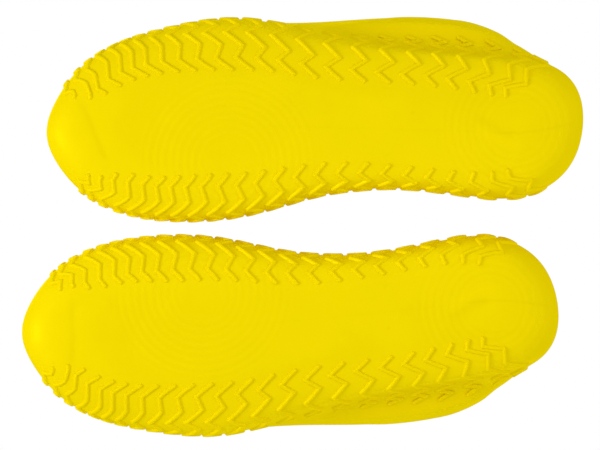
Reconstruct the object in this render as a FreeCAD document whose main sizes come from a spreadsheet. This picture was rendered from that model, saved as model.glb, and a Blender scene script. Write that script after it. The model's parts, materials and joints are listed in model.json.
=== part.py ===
import FreeCAD, Part
import math
import os

# A pair of one-piece silicone overshoes that stand on their soles side by side.
# Frame: +Z up, toes towards -Y, heels towards +Y, the left cover on the +X side.
# The origin is on the ground under the centre of the pair. All lengths are millimetres.
#
# Each cover is one thin moulding. Its outer skin is a closed spline surface that runs from
# the flat of the sole, round the sole edge and up to the tilted rim of the collar. The
# moulding is divided into the zones that a shoemaker names, which meet face to face.
# A place on a cover is given as (along, across, height): along runs from the tip of the toe
# towards the heel, and across is positive towards the outer, or lateral, side of the foot.

Vector = FreeCAD.Vector

DIMENSIONS = [
    ("cover_length", 280.0, "tip of the toe to the back of the heel"),
    ("pair_spacing", 103.8, "between the centre lines of the two covers"),
    ("pair_stagger", 16.6, "how far the left cover stands behind the right one"),
    ("wall", 1.5, "thickness of the upper"),
    ("sole", 2.5, "thickness of the sole"),
    ("rim_front_height", 108.0, "rim of the collar at the instep"),
    ("rim_back_height", 120.0, "rim of the collar at the heel"),
    ("rim_front", 162.0, "front of the rim, from the tip of the toe"),
    ("rim_back", 267.0, "back of the rim, from the tip of the toe"),
    ("bead_height", 2.2, "height of the rolled bead on the rim"),
    ("bead_reach", 1.1, "how far the bead stands out of the wall"),
    ("rib_height", 1.1, "how far a tread rib stands out of the skin"),
    ("rib_root", 0.4, "how deep a tread rib is rooted in the wall"),
    ("rib_width", 2.0, "width of a tread rib"),
    ("flex_along", 100.0, "line where the forefoot bends, from the tip of the toe"),
    ("flex_strip", 8.0, "length of the strip of sole that bends"),
    ("flex_angle", 33.0, "opening angle of the part of the upper that bends"),
    ("sole_thinning", 0.2, "how much thinner the sole gets at its edge"),
    ("sole_top", 7.0, "height where the sole ends and the upper begins"),
    ("arch_end", 186.0, "where the arch of the sole gives way to the heel"),
    ("instep_end", 150.0, "where the instep gives way to the quarters"),
    ("counter_start", 228.0, "where the quarters give way to the heel counter"),
    ("collar_depth", 31.0, "height of the collar below its rim"),
]

doc = FreeCAD.newDocument("overshoes")
sheet = doc.addObject("Spreadsheet::Sheet", "Dimensions")
for row_number, (alias, value, meaning) in enumerate(DIMENSIONS, start=1):
    sheet.set("A%d" % row_number, alias)
    sheet.set("B%d" % row_number, str(value))
    sheet.set("C%d" % row_number, meaning)
    sheet.setAlias("B%d" % row_number, alias)
doc.recompute()


def size(alias):
    return float(sheet.get(alias))


# --- The skin of the left cover -----------------------------------------------------------
# The widest outline of a cover, as half widths at stations every 15 degrees of a cosine
# that runs along the foot, from the toe (0 degrees) to the heel (180 degrees).
STATION_DEGREES = 15
STATIONS_ROUND = 360 // STATION_DEGREES
HALF_ROUND = STATIONS_ROUND // 2
LATERAL_OUTLINE = [0, 15.3, 33.8, 46.2, 53.3, 56.4, 49.0, 45.0, 42.3, 38.6, 29.6, 17.2, 0]
MEDIAL_OUTLINE = [0, 15.2, 32.3, 43.2, 47.4, 46.0, 37.3, 34.5, 38.6, 42.6, 36.0, 21.4, 0]
# How widely the sole edge is rounded at each station: most on the lateral side of the heel
# and least under the arch.
LATERAL_ROUNDING = [1, 1, 1, 1, 1, 1, 1, 1.09, 1.2, 1.5, 1.55, 1.3, 1]
MEDIAL_ROUNDING = [1, 1, 1, 1, 1, 0.95, 0.77, 0.62, 0.73, 1, 0.95, 1, 1]

# The lower rows of the skin: front and back along the foot, heights at the front, beside
# and at the back, and how far the row lies inside the outline on each side.
SOLE_ROWS = [
    (37.0, 248.0, 0.0, 0.0, 0.0, 33.0, 32.5),
    (32.0, 253.5, 0.0, 0.0, 0.0, 29.5, 24.5),
    (25.0, 260.0, 1.1, 1.0, 1.0, 24.5, 20.0),
    (12.5, 268.5, 3.3, 2.4, 2.6, 14.0, 10.5),
    (3.4, 276.0, 7.8, 6.4, 7.2, 5.0, 3.8),
    (0.0, 279.7, 13.6, 13.0, 15.0, 0.8, 0.2),
    (0.8, 280.0, 21.0, 21.0, 25.0, 0.0, 0.0),
]
# On the lateral side behind the arch the wall folds in above the sole edge and flares out
# again below the collar: how far in each row, and how much of it each station has.
FLARES = {4: -3.8, 5: -6.8, 6: -5.6, 7: 1.0, 8: 3.2, 9: 3.6, 10: 2.6, 11: 0.6, 12: -1.2,
          13: -2.2, 14: -3.0}
FLARE_SHARES = {5: -0.05, 6: 0.1, 7: 0.65, 8: 0.95, 9: 1.0, 10: 0.3}

# The upper rows: front, back, height at the front and at the back, how far the row has
# left the outline of the sole for the oval of the collar, the half widths of that oval on
# each side, its sideways lean, and how early it narrows towards the toe.
UPPER_ROWS = [
    (5.0, 279.5, 30.5, 36.0, 0.2, 52.0, 37.0, 0.0, 1.0),
    (16.0, 278.0, 41.0, 48.0, 0.5, 54.5, 36.0, 0.0, 1.4),
    (38.0, 276.0, 50.0, 60.0, 0.8, 54.0, 34.0, 1.0, 1.9),
    (72.0, 273.5, 58.0, 75.0, 0.95, 54.0, 32.0, 3.0, 1.8),
    (108.0, 271.0, 69.0, 90.0, 1.0, 54.0, 30.0, 5.0, 1.3),
    (138.0, 269.0, 84.0, 103.0, 1.0, 53.5, 28.0, 7.0, 1.05),
    (156.0, 267.6, 98.5, 113.0, 1.0, 52.5, 26.0, 8.0, 1.0),
    (size("rim_front"), size("rim_back"), size("rim_front_height"), size("rim_back_height"),
     1.0, 51.5, 25.0, 8.5, 1.0),
]
BACK_NARROWING = 1.2

# The left cover's own zero point, in the frame of the pair.
TIP = Vector(size("pair_spacing") / 2, (size("pair_stagger") - size("cover_length")) / 2, 0)


def skin_place(row_index, step):
    """A place that the outer skin runs through: a row of the skin, a step round the foot."""
    lateral = step <= HALF_ROUND
    station = step if lateral else STATIONS_ROUND - step
    angle = math.radians(STATION_DEGREES * station)
    back_share = (1 - math.cos(angle)) / 2
    outline = LATERAL_OUTLINE[station] if lateral else MEDIAL_OUTLINE[station]
    if row_index < len(SOLE_ROWS):
        front, back, low, beside, high, lateral_in, medial_in = SOLE_ROWS[row_index]
        if lateral:
            inset = lateral_in * LATERAL_ROUNDING[station]
        else:
            inset = medial_in * MEDIAL_ROUNDING[station]
        across = outline - inset * math.sin(angle)
        height = low + (high - low) * back_share
        height += (beside - (low + high) / 2) * math.sin(angle) ** 2
    else:
        upper_row = UPPER_ROWS[row_index - len(SOLE_ROWS)]
        front, back, low, high, oval_share, lateral_wide, medial_wide, lean, early = upper_row
        bend = math.sin(angle) ** (early if station < HALF_ROUND // 2 else BACK_NARROWING)
        if lateral:
            oval = lean + (lateral_wide - lean) * bend
        else:
            oval = -lean + (medial_wide + lean) * bend
        across = (1 - oval_share) * outline + oval_share * oval
        height = low + (high - low) * back_share
    if lateral:
        across += FLARES.get(row_index, 0) * FLARE_SHARES.get(station, 0)
    along = front + (back - front) * back_share
    return TIP + Vector(across if lateral else -across, along, height)


def skin_rows():
    row_count = len(SOLE_ROWS) + len(UPPER_ROWS)
    return [[skin_place(row_index, step) for step in range(STATIONS_ROUND)]
            for row_index in range(row_count)]


def sharpened(rows):
    """Moves the poles out, so that the spline surface runs through the places given."""
    sharp = []
    for index, row in enumerate(rows):
        line = []
        for step, place in enumerate(row):
            bend = row[step - 1] - place * 2 + row[(step + 1) % len(row)]
            if 1 < index < len(rows) - 1:
                bend = bend + rows[index - 1][step] - place * 2 + rows[index + 1][step]
            line.append(place - bend * (1 / 6))
        sharp.append(line)
    return sharp


def rim_upward(rows):
    """The direction square to the plane of the rim."""
    rim_slope = rows[-1][HALF_ROUND] - rows[-1][0]
    upward = Vector(1, 0, 0).cross(rim_slope)
    return upward.normalize()


def moved_inside(rows, thicknesses):
    """The net of the inner skin: every pole moved square to the outer skin."""
    last = len(rows) - 1
    upward = rim_upward(rows)
    moved = []
    for index, row in enumerate(rows):
        line = []
        for step, place in enumerate(row):
            round_foot = row[(step + 1) % len(row)] - row[step - 1]
            rise = rows[min(index + 1, last)][step] - rows[max(index - 1, 0)][step]
            inward = rise.cross(round_foot)
            if index <= 1:
                inward = Vector(0, 0, 1)
            if index == last:
                inward = inward - upward * inward.dot(upward)
            line.append(place + inward.normalize() * thicknesses[index])
        moved.append(line)
    return moved


def skin_surface(rows):
    """A cubic spline surface that closes round the foot and ends at its first and last row."""
    poles = [[row[step] for row in rows] for step in range(STATIONS_ROUND)]
    round_knots = [float(knot) for knot in range(STATIONS_ROUND + 1)]
    rise_spans = len(rows) - 3
    rise_knots = [float(knot) for knot in range(rise_spans + 1)]
    rise_repeats = [4] + [1] * (rise_spans - 1) + [4]
    surface = Part.BSplineSurface()
    surface.buildFromPolesMultsKnots(poles, [1] * (STATIONS_ROUND + 1), rise_repeats,
                                     round_knots, rise_knots, True, False, 3, 3)
    return surface


OUTER_ROWS = sharpened(skin_rows())
# The sole thins towards the wall over two rows at its edge.
SOLE_THICKNESSES = [size("sole")] * 3 + [size("sole") - size("sole_thinning"),
                                         size("sole") - 3 * size("sole_thinning")]
UPPER_THICKNESSES = [size("wall")] * (len(OUTER_ROWS) - len(SOLE_THICKNESSES))
INNER_ROWS = moved_inside(OUTER_ROWS, SOLE_THICKNESSES + UPPER_THICKNESSES)
OUTER_SKIN = skin_surface(OUTER_ROWS)


def closed_edges(skin):
    """The lower and the upper closed edge of a skin, as wires."""
    closed = [edge for edge in skin.Edges if not edge.isSeam(skin)]
    closed.sort(key=lambda edge: edge.CenterOfMass.z)
    return Part.Wire([closed[0]]), Part.Wire([closed[-1]])


def sewn_solid(faces):
    shell = Part.Shell(faces)
    shell.sewShape()
    solid = Part.Solid(shell)
    if solid.Volume < 0:
        solid.reverse()
    return solid


def capped(rows):
    """The closed volume inside a skin."""
    skin = skin_surface(rows).toShape()
    low, high = closed_edges(skin)
    return sewn_solid([skin, Part.Face(low), Part.Face(high)])


def cover_wall():
    """The whole thin moulding, open at the rim."""
    return capped(OUTER_ROWS).cut(capped(INNER_ROWS))


def collar_bead():
    """A rounded bead that stands on the rim all the way round."""
    outside_profile = [(0.0, 0.0), (0.9, 0.1), (1.15, 0.55), (0.7, 1.1)]
    upward = rim_upward(OUTER_ROWS)
    net = []
    for outside, profile in ((True, outside_profile), (False, outside_profile[::-1])):
        for reach, rise in profile:
            line = []
            for outer_place, inner_place in zip(OUTER_ROWS[-1], INNER_ROWS[-1]):
                outward = (outer_place - inner_place).normalize() * size("bead_reach")
                start = outer_place if outside else inner_place
                line.append(start + outward * (reach if outside else -reach)
                            + upward * (rise * size("bead_height")))
            net.append(line)
    skin = skin_surface(net).toShape()
    rings = [edge for edge in skin.Edges if not edge.isSeam(skin)]
    footing = Part.makeFace([Part.Wire([ring]) for ring in rings], "Part::FaceMakerBullseye")
    return sewn_solid([skin, footing])


# Longer than a cover: the size of the blocks that cut it.
REACH = 400.0


# --- The tread ribs of the left cover -----------------------------------------------------
# Zigzag ribs cross the sole edge from the tread to the side wall. A rib is a row of corners
# on the skin, given by how far along the foot and how high on the skin each of them lies.
RIBS_A_SIDE = 24
# Where the first rib starts on the sole, and the pitch from rib to rib along the foot.
FIRST_RIB = {"lateral": 15.4, "medial": 20.6}
PITCH_PLACES = [20, 35, 60, 110, 165, 215, 240]
PITCHES = {"lateral": [8.2, 7.9, 8.3, 10.8, 12.7, 9.7, 7.0],
           "medial": [7.4, 8.2, 7.9, 10.2, 11.3, 10.2, 7.6]}
# The zigzag at nine places along the foot: how far each leg leans along the foot, and the
# rise of each corner. Ribs in between are blends of their neighbours.
SHAPE_PLACES = [15, 23, 32, 42, 70, 105, 165, 215, 240]
LEG_LEANS = {"lateral": [[0.0, 0.0, -4.2, -6.3, -8.1, -8.1, -6.9, -4.0, -0.1],
                         [-0.8, -1.8, -1.0, -0.4, 0.2, 3.5, 8.2, 10.4, 11.0],
                         [-4.0, -5.4, -4.4, -5.0, -5.5, -9.3, -7.0, -4.2, 0.6],
                         [1.6, 2.0, 2.6, 3.6, 5.3, 7.0, 8.3, 8.2, 11.5],
                         [-1.6, -2.0, -3.0, -4.0, -6.0, -8.5, -10.4, -8.2, -8.0],
                         [1.6, 2.0, 3.0, 4.0, 6.0, 8.0, 9.5, 10.5, 10.0],
                         [-1.6, -2.0, -2.6, -3.5, -5.0, -6.5, -7.1, -7.2, -6.9]],
             "medial": [[0.0, -0.3, -1.5, -2.8, -4.8, -5.0, -4.6, -2.7, 0.9],
                        [0.5, 0.5, 0.6, 0.5, 1.4, 3.8, 5.2, 7.5, 11.3],
                        [-4.0, -5.2, -7.0, -7.2, -8.9, -8.4, -7.0, -5.0, -2.0],
                        [1.4, 1.8, 2.4, 3.2, 5.5, 7.0, 7.0, 8.0, 9.0],
                        [-1.4, -1.8, -2.8, -3.6, -6.0, -7.0, -8.0, -8.0, -8.0],
                        [1.4, 1.8, 2.8, 3.7, 6.0, 7.0, 8.0, 9.0, 9.0],
                        [-1.4, -1.8, -2.4, -3.1, -5.0, -6.0, -7.0, -7.0, -7.0]]}
CORNER_RISES = {
    "lateral": [[2.52, 1.88, 1.45, 1.28, 0.90, 0.56, 1.13, 1.09, 0.98],
                [2.60, 2.00, 1.85, 1.85, 1.63, 1.35, 1.60, 1.51, 1.41],
                [2.80, 2.50, 2.50, 2.75, 2.45, 1.97, 2.13, 2.04, 1.78],
                [3.25, 3.22, 3.20, 3.80, 3.35, 2.75, 2.93, 2.93, 2.67],
                [3.80, 3.80, 3.90, 4.40, 3.90, 3.27, 4.30, 4.65, 3.80],
                [4.30, 4.30, 4.50, 4.80, 4.70, 4.60, 5.30, 5.20, 5.40],
                [4.70, 4.70, 4.90, 5.10, 5.20, 5.20, 5.55, 5.65, 5.70],
                [4.95, 4.95, 5.15, 5.35, 5.60, 5.70, 5.85, 5.85, 5.90]],
    "medial": [[2.45, 2.20, 1.60, 0.98, 0.35, 0.48, 0.95, 1.06, 1.04],
               [2.52, 2.32, 1.85, 1.46, 1.03, 1.16, 1.76, 1.90, 1.64],
               [2.70, 2.58, 2.30, 2.18, 2.03, 2.15, 2.45, 2.68, 2.36],
               [3.00, 3.02, 3.12, 3.20, 3.25, 3.20, 3.20, 3.40, 3.20],
               [3.60, 3.60, 3.70, 3.90, 3.90, 3.90, 3.90, 4.20, 4.00],
               [4.10, 4.15, 4.30, 4.52, 4.70, 4.80, 4.90, 5.00, 5.00],
               [4.50, 4.55, 4.70, 4.92, 5.10, 5.20, 5.30, 5.40, 5.40],
               [4.80, 4.85, 5.00, 5.22, 5.50, 5.60, 5.70, 5.80, 5.80]]}
SECTION_SPACING = 3.5
FOOT_FLARE = 1.15
TOP_TAPER = 0.7
LONGEST_MITRE = 1.5
HALVINGS = 30
# A point inside a cover that every part of the sole edge and side wall faces away from.
HEART_HEIGHT = 60.0


def through(places, values, place):
    """A smooth curve through the given values, level beyond both ends."""
    if place <= places[0]:
        return values[0]
    if place >= places[-1]:
        return values[-1]
    first = max(index for index in range(len(places) - 1) if places[index] <= place)
    span = places[first + 1] - places[first]
    share = (place - places[first]) / span

    def slope(index):
        if index == 0 or index == len(places) - 1:
            return 0.0
        return (values[index + 1] - values[index - 1]) / (places[index + 1] - places[index - 1])

    return (values[first] * (2 * share ** 3 - 3 * share ** 2 + 1)
            + slope(first) * span * (share ** 3 - 2 * share ** 2 + share)
            + values[first + 1] * (3 * share ** 2 - 2 * share ** 3)
            + slope(first + 1) * span * (share ** 3 - share ** 2))


def rib_starts(edge):
    starts = [FIRST_RIB[edge]]
    while len(starts) < RIBS_A_SIDE:
        starts.append(starts[-1] + through(PITCH_PLACES, PITCHES[edge], starts[-1]))
    return starts


def rib_corners(start, edge):
    """The corners of one rib, as (along, rise)."""
    along = start
    corners = [(along, through(SHAPE_PLACES, CORNER_RISES[edge][0], start))]
    for lean, rise in zip(LEG_LEANS[edge], CORNER_RISES[edge][1:]):
        along += through(SHAPE_PLACES, lean, start)
        corners.append((along, through(SHAPE_PLACES, rise, start)))
    return corners


def on_skin(along, rise, edge):
    """The place on the skin, and its outward direction, at a rise and this far along."""
    near, far = 0.0, float(HALF_ROUND)
    for _ in range(HALVINGS):
        turn = (near + far) / 2
        round_foot = turn if edge == "lateral" else STATIONS_ROUND - turn
        place = OUTER_SKIN.value(round_foot % STATIONS_ROUND, rise)
        if place.y - TIP.y < along:
            near = turn
        else:
            far = turn
    outward = OUTER_SKIN.normal(round_foot % STATIONS_ROUND, rise)
    if outward.dot(place - TIP - Vector(0, along, HEART_HEIGHT)) < 0:
        outward = outward * -1
    return place, outward


def ruled_solid(sections):
    """The solid that straight lines between matching corners of the sections enclose."""
    faces = [Part.Face(Part.makePolygon(end + [end[0]])) for end in (sections[0], sections[-1])]
    for near, far in zip(sections, sections[1:]):
        for corner in range(len(near)):
            following = (corner + 1) % len(near)
            faces.append(Part.makeRuledSurface(Part.makeLine(near[corner], near[following]),
                                               Part.makeLine(far[corner], far[following])))
    return sewn_solid(faces)


def rib(start, edge):
    """One rib, rooted in the wall, as a ruled solid through sections along its line."""
    line = []
    corners = rib_corners(start, edge)
    for (along_a, rise_a), (along_b, rise_b) in zip(corners, corners[1:]):
        leg = on_skin(along_b, rise_b, edge)[0] - on_skin(along_a, rise_a, edge)[0]
        steps = max(1, int(leg.Length / SECTION_SPACING))
        for step in range(steps):
            share = step / steps
            line.append(on_skin(along_a + (along_b - along_a) * share,
                                rise_a + (rise_b - rise_a) * share, edge))
    line.append(on_skin(corners[-1][0], corners[-1][1], edge))
    sections = []
    for index, (place, outward) in enumerate(line):
        before = line[max(index - 1, 0)][0]
        after = line[min(index + 1, len(line) - 1)][0]
        ahead = after - place
        behind = place - before
        if ahead.Length:
            ahead.normalize()
        if behind.Length:
            behind.normalize()
        run = ahead + behind
        mitre = 2 / run.Length if 0 < index < len(line) - 1 else 1.0
        half = min(mitre, LONGEST_MITRE) * size("rib_width") / 2
        across = outward.cross(run).normalize() * half
        foot = place - outward * size("rib_root")
        top = place + outward * size("rib_height")
        sections.append([foot - across * FOOT_FLARE, foot + across * FOOT_FLARE,
                         top + across * TOP_TAPER, top - across * TOP_TAPER])
    return ruled_solid(sections)


def rib_group(edge):
    """All ribs of one side of a cover. None of them reaches below the flat of the sole."""
    above_ground = Part.makeBox(REACH, REACH, REACH, TIP - Vector(REACH / 2, REACH / 8, 0))
    ribs = [rib(start, edge).common(above_ground) for start in rib_starts(edge)]
    return Part.makeCompound([solid for shape in ribs for solid in shape.Solids])


# --- The document -------------------------------------------------------------------------
def shaped(name, shape):
    feature = doc.addObject("Part::Feature", name)
    feature.Shape = shape
    return feature


def block(name, low_x, low_y, low_z, tilt="0"):
    """A large box whose low corner is bound to the sheet, turned about the X direction."""
    box = doc.addObject("Part::Box", name)
    box.Length = box.Width = box.Height = REACH
    box.Placement = FreeCAD.Placement(Vector(), FreeCAD.Rotation(Vector(1, 0, 0), 1))
    box.setExpression("Placement.Base.x", low_x)
    box.setExpression("Placement.Base.y", low_y)
    box.setExpression("Placement.Base.z", low_z)
    box.setExpression("Placement.Rotation.Angle", tilt)
    return box


def common(name, base, tool):
    feature = doc.addObject("Part::Common", name)
    feature.Base = base
    feature.Tool = tool
    return feature


def cut(name, base, tool):
    feature = doc.addObject("Part::Cut", name)
    feature.Base = base
    feature.Tool = tool
    return feature


TIP_Y = "(Dimensions.pair_stagger - Dimensions.cover_length) / 2"
BESIDE = "-%g" % (REACH / 2)
BELOW = "-%g" % (REACH / 4)
FLEX_FRONT = "(%s + Dimensions.flex_along - Dimensions.flex_strip / 2)" % TIP_Y
TILT = "Dimensions.flex_angle"

left_wall = shaped("left_wall", cover_wall())
lateral_ribs = shaped("left_lateral_ribs", rib_group("lateral"))
medial_ribs = shaped("left_medial_ribs", rib_group("medial"))

# The forefoot ends at a plane that leans forward from the flex line, and the rear part of
# the cover starts at an upright plane, so the wedge between them is free to bend.
toe_block = block("toe_block", BESIDE,
                  "%s - %g * cos(%s) + %g * sin(%s)" % (FLEX_FRONT, REACH, TILT, REACH / 4, TILT),
                  "-%g * sin(%s) - %g * cos(%s)" % (REACH, TILT, REACH / 4, TILT), TILT)
rear_block = block("rear_block", BESIDE, FLEX_FRONT + " + Dimensions.flex_strip", BELOW)
sole_block = block("sole_block", BESIDE, TIP_Y + " - %g" % (REACH / 4),
                   "Dimensions.sole_top - %g" % REACH)
arch_block = block("arch_block", BESIDE, "%s + Dimensions.arch_end - %g" % (TIP_Y, REACH), BELOW)
instep_block = block("instep_block", BESIDE,
                     "%s + Dimensions.instep_end - %g" % (TIP_Y, REACH), BELOW)
counter_block = block("counter_block", BESIDE, TIP_Y + " + Dimensions.counter_start", BELOW)
lateral_block = block("lateral_block", "Dimensions.pair_spacing / 2",
                      TIP_Y + " - %g" % (REACH / 4), BELOW)
RIM_TILT = ("atan((Dimensions.rim_back_height - Dimensions.rim_front_height)"
            " / (Dimensions.rim_back - Dimensions.rim_front))")
collar_block = block("collar_block", BESIDE,
                     "%s + Dimensions.rim_front - %g * cos(%s)" % (TIP_Y, REACH / 2, RIM_TILT),
                     "Dimensions.rim_front_height - Dimensions.collar_depth"
                     " - %g * sin(%s)" % (REACH / 2, RIM_TILT), RIM_TILT)

fore = common("left_fore", left_wall, toe_block)
rear = common("left_rear", left_wall, rear_block)
rear_sole = common("left_rear_sole", rear, sole_block)
rear_upper = cut("left_rear_upper", rear, sole_block)
below_collar = cut("left_below_collar", rear_upper, collar_block)
both_quarters = cut("left_both_quarters", cut("left_behind_instep", below_collar, instep_block),
                    counter_block)
all_ribs = doc.addObject("Part::Compound", "left_ribs")
all_ribs.Links = [lateral_ribs, medial_ribs]

LEFT_PARTS = {
    "toe_sole": common("left_toe_sole", fore, sole_block),
    "toe_cap": cut("left_toe_cap", fore, sole_block),
    "flex_band": cut("left_flex_band", cut("left_behind_toe", left_wall, toe_block), rear_block),
    "arch_sole": common("left_arch_sole", rear_sole, arch_block),
    "heel_sole": cut("left_heel_sole", rear_sole, arch_block),
    "instep": common("left_instep", below_collar, instep_block),
    "lateral_quarter": common("left_lateral_quarter", both_quarters, lateral_block),
    "medial_quarter": cut("left_medial_quarter", both_quarters, lateral_block),
    "heel_counter": common("left_heel_counter", below_collar, counter_block),
    "collar": common("left_collar", rear_upper, collar_block),
    "collar_bead": shaped("left_collar_bead", collar_bead()),
    "lateral_toe_ribs": common("left_lateral_toe_ribs", lateral_ribs, toe_block),
    "medial_toe_ribs": common("left_medial_toe_ribs", medial_ribs, toe_block),
    "flex_ribs": cut("left_flex_ribs", cut("left_ribs_behind_toe", all_ribs, toe_block),
                     rear_block),
    "lateral_rear_ribs": common("left_lateral_rear_ribs", lateral_ribs, rear_block),
    "medial_rear_ribs": common("left_medial_rear_ribs", medial_ribs, rear_block),
}


def mirrored(name, source):
    """The matching piece of the right cover, which stands further forward."""
    twin = doc.addObject("Part::Mirroring", name)
    twin.Source = source
    twin.Base = Vector(0, 0, 0)
    twin.Normal = Vector(1, 0, 0)
    twin.setExpression("Placement.Base.y", "-Dimensions.pair_stagger")
    return twin


nodes = []
for part_name, left_part in LEFT_PARTS.items():
    left_part.Label = "left_" + part_name
    right_part = mirrored("right_" + part_name, left_part)
    right_part.Label = "right_" + part_name
    nodes += [left_part, right_part]

doc.recompute()

for item in doc.Objects:
    if "Invalid" in item.State or "Error" in item.State:
        raise RuntimeError("%s did not build: %s" % (item.Label, item.State))
for node in nodes:
    if node.Shape.isNull() or not node.Shape.isValid() or not node.Shape.Solids:
        raise RuntimeError("%s has no valid solid" % node.Label)

os.makedirs("parts", exist_ok=True)
for node in nodes:
    node.Shape.exportStep("parts/%s.step" % node.Label)
    box = node.Shape.BoundBox
    print("%-26s %3d solids %9.0f mm3  y %7.1f %7.1f  z %6.1f %6.1f"
          % (node.Label, len(node.Shape.Solids), node.Shape.Volume, box.YMin, box.YMax,
             box.ZMin, box.ZMax))
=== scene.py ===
import json
import math

import bmesh
import bpy
import numpy as np
from mathutils import Matrix, Vector


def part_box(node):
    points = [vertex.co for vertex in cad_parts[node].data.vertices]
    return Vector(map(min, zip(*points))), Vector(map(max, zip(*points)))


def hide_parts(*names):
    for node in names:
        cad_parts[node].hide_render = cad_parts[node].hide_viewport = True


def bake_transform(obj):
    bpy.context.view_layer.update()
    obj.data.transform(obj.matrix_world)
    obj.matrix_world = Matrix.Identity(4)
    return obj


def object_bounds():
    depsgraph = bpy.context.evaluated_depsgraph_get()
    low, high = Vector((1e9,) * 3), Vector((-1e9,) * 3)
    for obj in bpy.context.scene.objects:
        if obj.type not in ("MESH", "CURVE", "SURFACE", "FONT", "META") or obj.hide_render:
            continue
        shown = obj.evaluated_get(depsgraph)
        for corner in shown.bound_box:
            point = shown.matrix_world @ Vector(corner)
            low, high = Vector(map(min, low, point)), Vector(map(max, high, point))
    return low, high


# A pair of soft, yellow, moulded silicone overshoes with zigzag tread ribs. The camera looks
# straight up at their soles, so the floor can't be seen from its underside.
# A place on a cover is (across, along, height) in millimetres: across is positive towards
# the outer, or lateral, side of the foot, and along runs from the tip of the toe to the heel.

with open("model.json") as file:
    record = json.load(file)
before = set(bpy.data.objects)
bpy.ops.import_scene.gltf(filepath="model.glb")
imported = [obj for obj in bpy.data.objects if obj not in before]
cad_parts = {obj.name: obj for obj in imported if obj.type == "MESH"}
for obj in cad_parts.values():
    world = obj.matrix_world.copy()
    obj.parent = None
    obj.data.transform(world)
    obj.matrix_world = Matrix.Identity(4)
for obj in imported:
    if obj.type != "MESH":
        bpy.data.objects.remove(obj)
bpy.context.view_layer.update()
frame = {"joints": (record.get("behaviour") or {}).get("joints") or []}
MM = 0.001
SIDES = ("left", "right")
JOINTS = {joint["name"]: joint for joint in frame["joints"]}
ZONES = ("toe_sole", "toe_cap", "flex_band", "arch_sole", "heel_sole", "instep",
         "lateral_quarter", "medial_quarter", "heel_counter", "collar", "collar_bead")


def foremost(side):
    """How far forward the tip of a cover's toe is, in metres."""
    return min(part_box(side + "_toe_cap")[0].y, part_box(side + "_toe_sole")[0].y)


TIP_X = abs(Vector(JOINTS["left_toe_flex"]["pos_m"]).x)
TIP_Y = {side: foremost(side) for side in SIDES}


# --- Camera -------------------------------------------------------------------------------
VIEW_TURN = math.radians(2.07)
VIEW_MIDDLE = (-0.0005, -0.0016)
VIEW_WIDTH = 0.3126
VIEW_DISTANCE = 10.0


def make_camera():
    """Looks up at the soles, with the toes on the left of the picture."""
    right = Vector((-math.sin(VIEW_TURN), math.cos(VIEW_TURN), 0))
    up = Vector((math.cos(VIEW_TURN), math.sin(VIEW_TURN), 0))
    back = Vector((0, 0, -1))
    data = bpy.data.cameras.new("camera")
    data.sensor_width = 36.0
    data.lens = data.sensor_width * VIEW_DISTANCE / VIEW_WIDTH
    data.clip_start = 0.1
    data.clip_end = 100.0
    camera = bpy.data.objects.new("camera", data)
    place = Matrix.Translation((*VIEW_MIDDLE, -VIEW_DISTANCE))
    camera.matrix_world = place @ Matrix([right, up, back]).transposed().to_4x4()
    bpy.context.scene.collection.objects.link(camera)
    bpy.context.scene.camera = camera


# --- The skin of a cover ------------------------------------------------------------------
# The same spline net as the CAD solids: half widths at stations every 15 degrees round the
# foot, from the toe to the heel, and rows that climb from the flat of the sole to the rim.
# A turn is a place round the foot, counted in stations. A rise is a place up the skin,
# counted in rows.
STATIONS_ROUND = 24
HALF_ROUND = 12
LATERAL_OUTLINE = [0, 15.3, 33.8, 46.2, 53.3, 56.4, 49.0, 45.0, 42.3, 38.6, 29.6, 17.2, 0]
MEDIAL_OUTLINE = [0, 15.2, 32.3, 43.2, 47.4, 46.0, 37.3, 34.5, 38.6, 42.6, 36.0, 21.4, 0]
LATERAL_ROUNDING = [1, 1, 1, 1, 1, 1, 1, 1.09, 1.2, 1.5, 1.55, 1.3, 1]
MEDIAL_ROUNDING = [1, 1, 1, 1, 1, 0.95, 0.77, 0.62, 0.73, 1, 0.95, 1, 1]
# Rows of the sole's edge: front, back, height at the front, beside the foot and at the back,
# and how far the row lies inside the outline on the lateral and medial side.
SOLE_ROWS = [
    (37.0, 248.0, 0.0, 0.0, 0.0, 33.0, 32.5),
    (32.0, 253.5, 0.0, 0.0, 0.0, 29.5, 24.5),
    (25.0, 260.0, 1.1, 1.0, 1.0, 24.5, 20.0),
    (12.5, 268.5, 3.3, 2.4, 2.6, 14.0, 10.5),
    (3.4, 276.0, 7.8, 6.4, 7.2, 5.0, 3.8),
    (0.0, 279.7, 13.6, 13.0, 15.0, 0.8, 0.2),
    (0.8, 280.0, 21.0, 21.0, 25.0, 0.0, 0.0),
]
# How far each row of the lateral side flares out, and the share of it at each station.
FLARES = {4: -3.8, 5: -6.8, 6: -5.6, 7: 1.0, 8: 3.2, 9: 3.6, 10: 2.6, 11: 0.6, 12: -1.2,
          13: -2.2, 14: -3.0}
FLARE_SHARES = {5: -0.05, 6: 0.1, 7: 0.65, 8: 0.95, 9: 1.0, 10: 0.3}
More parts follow.
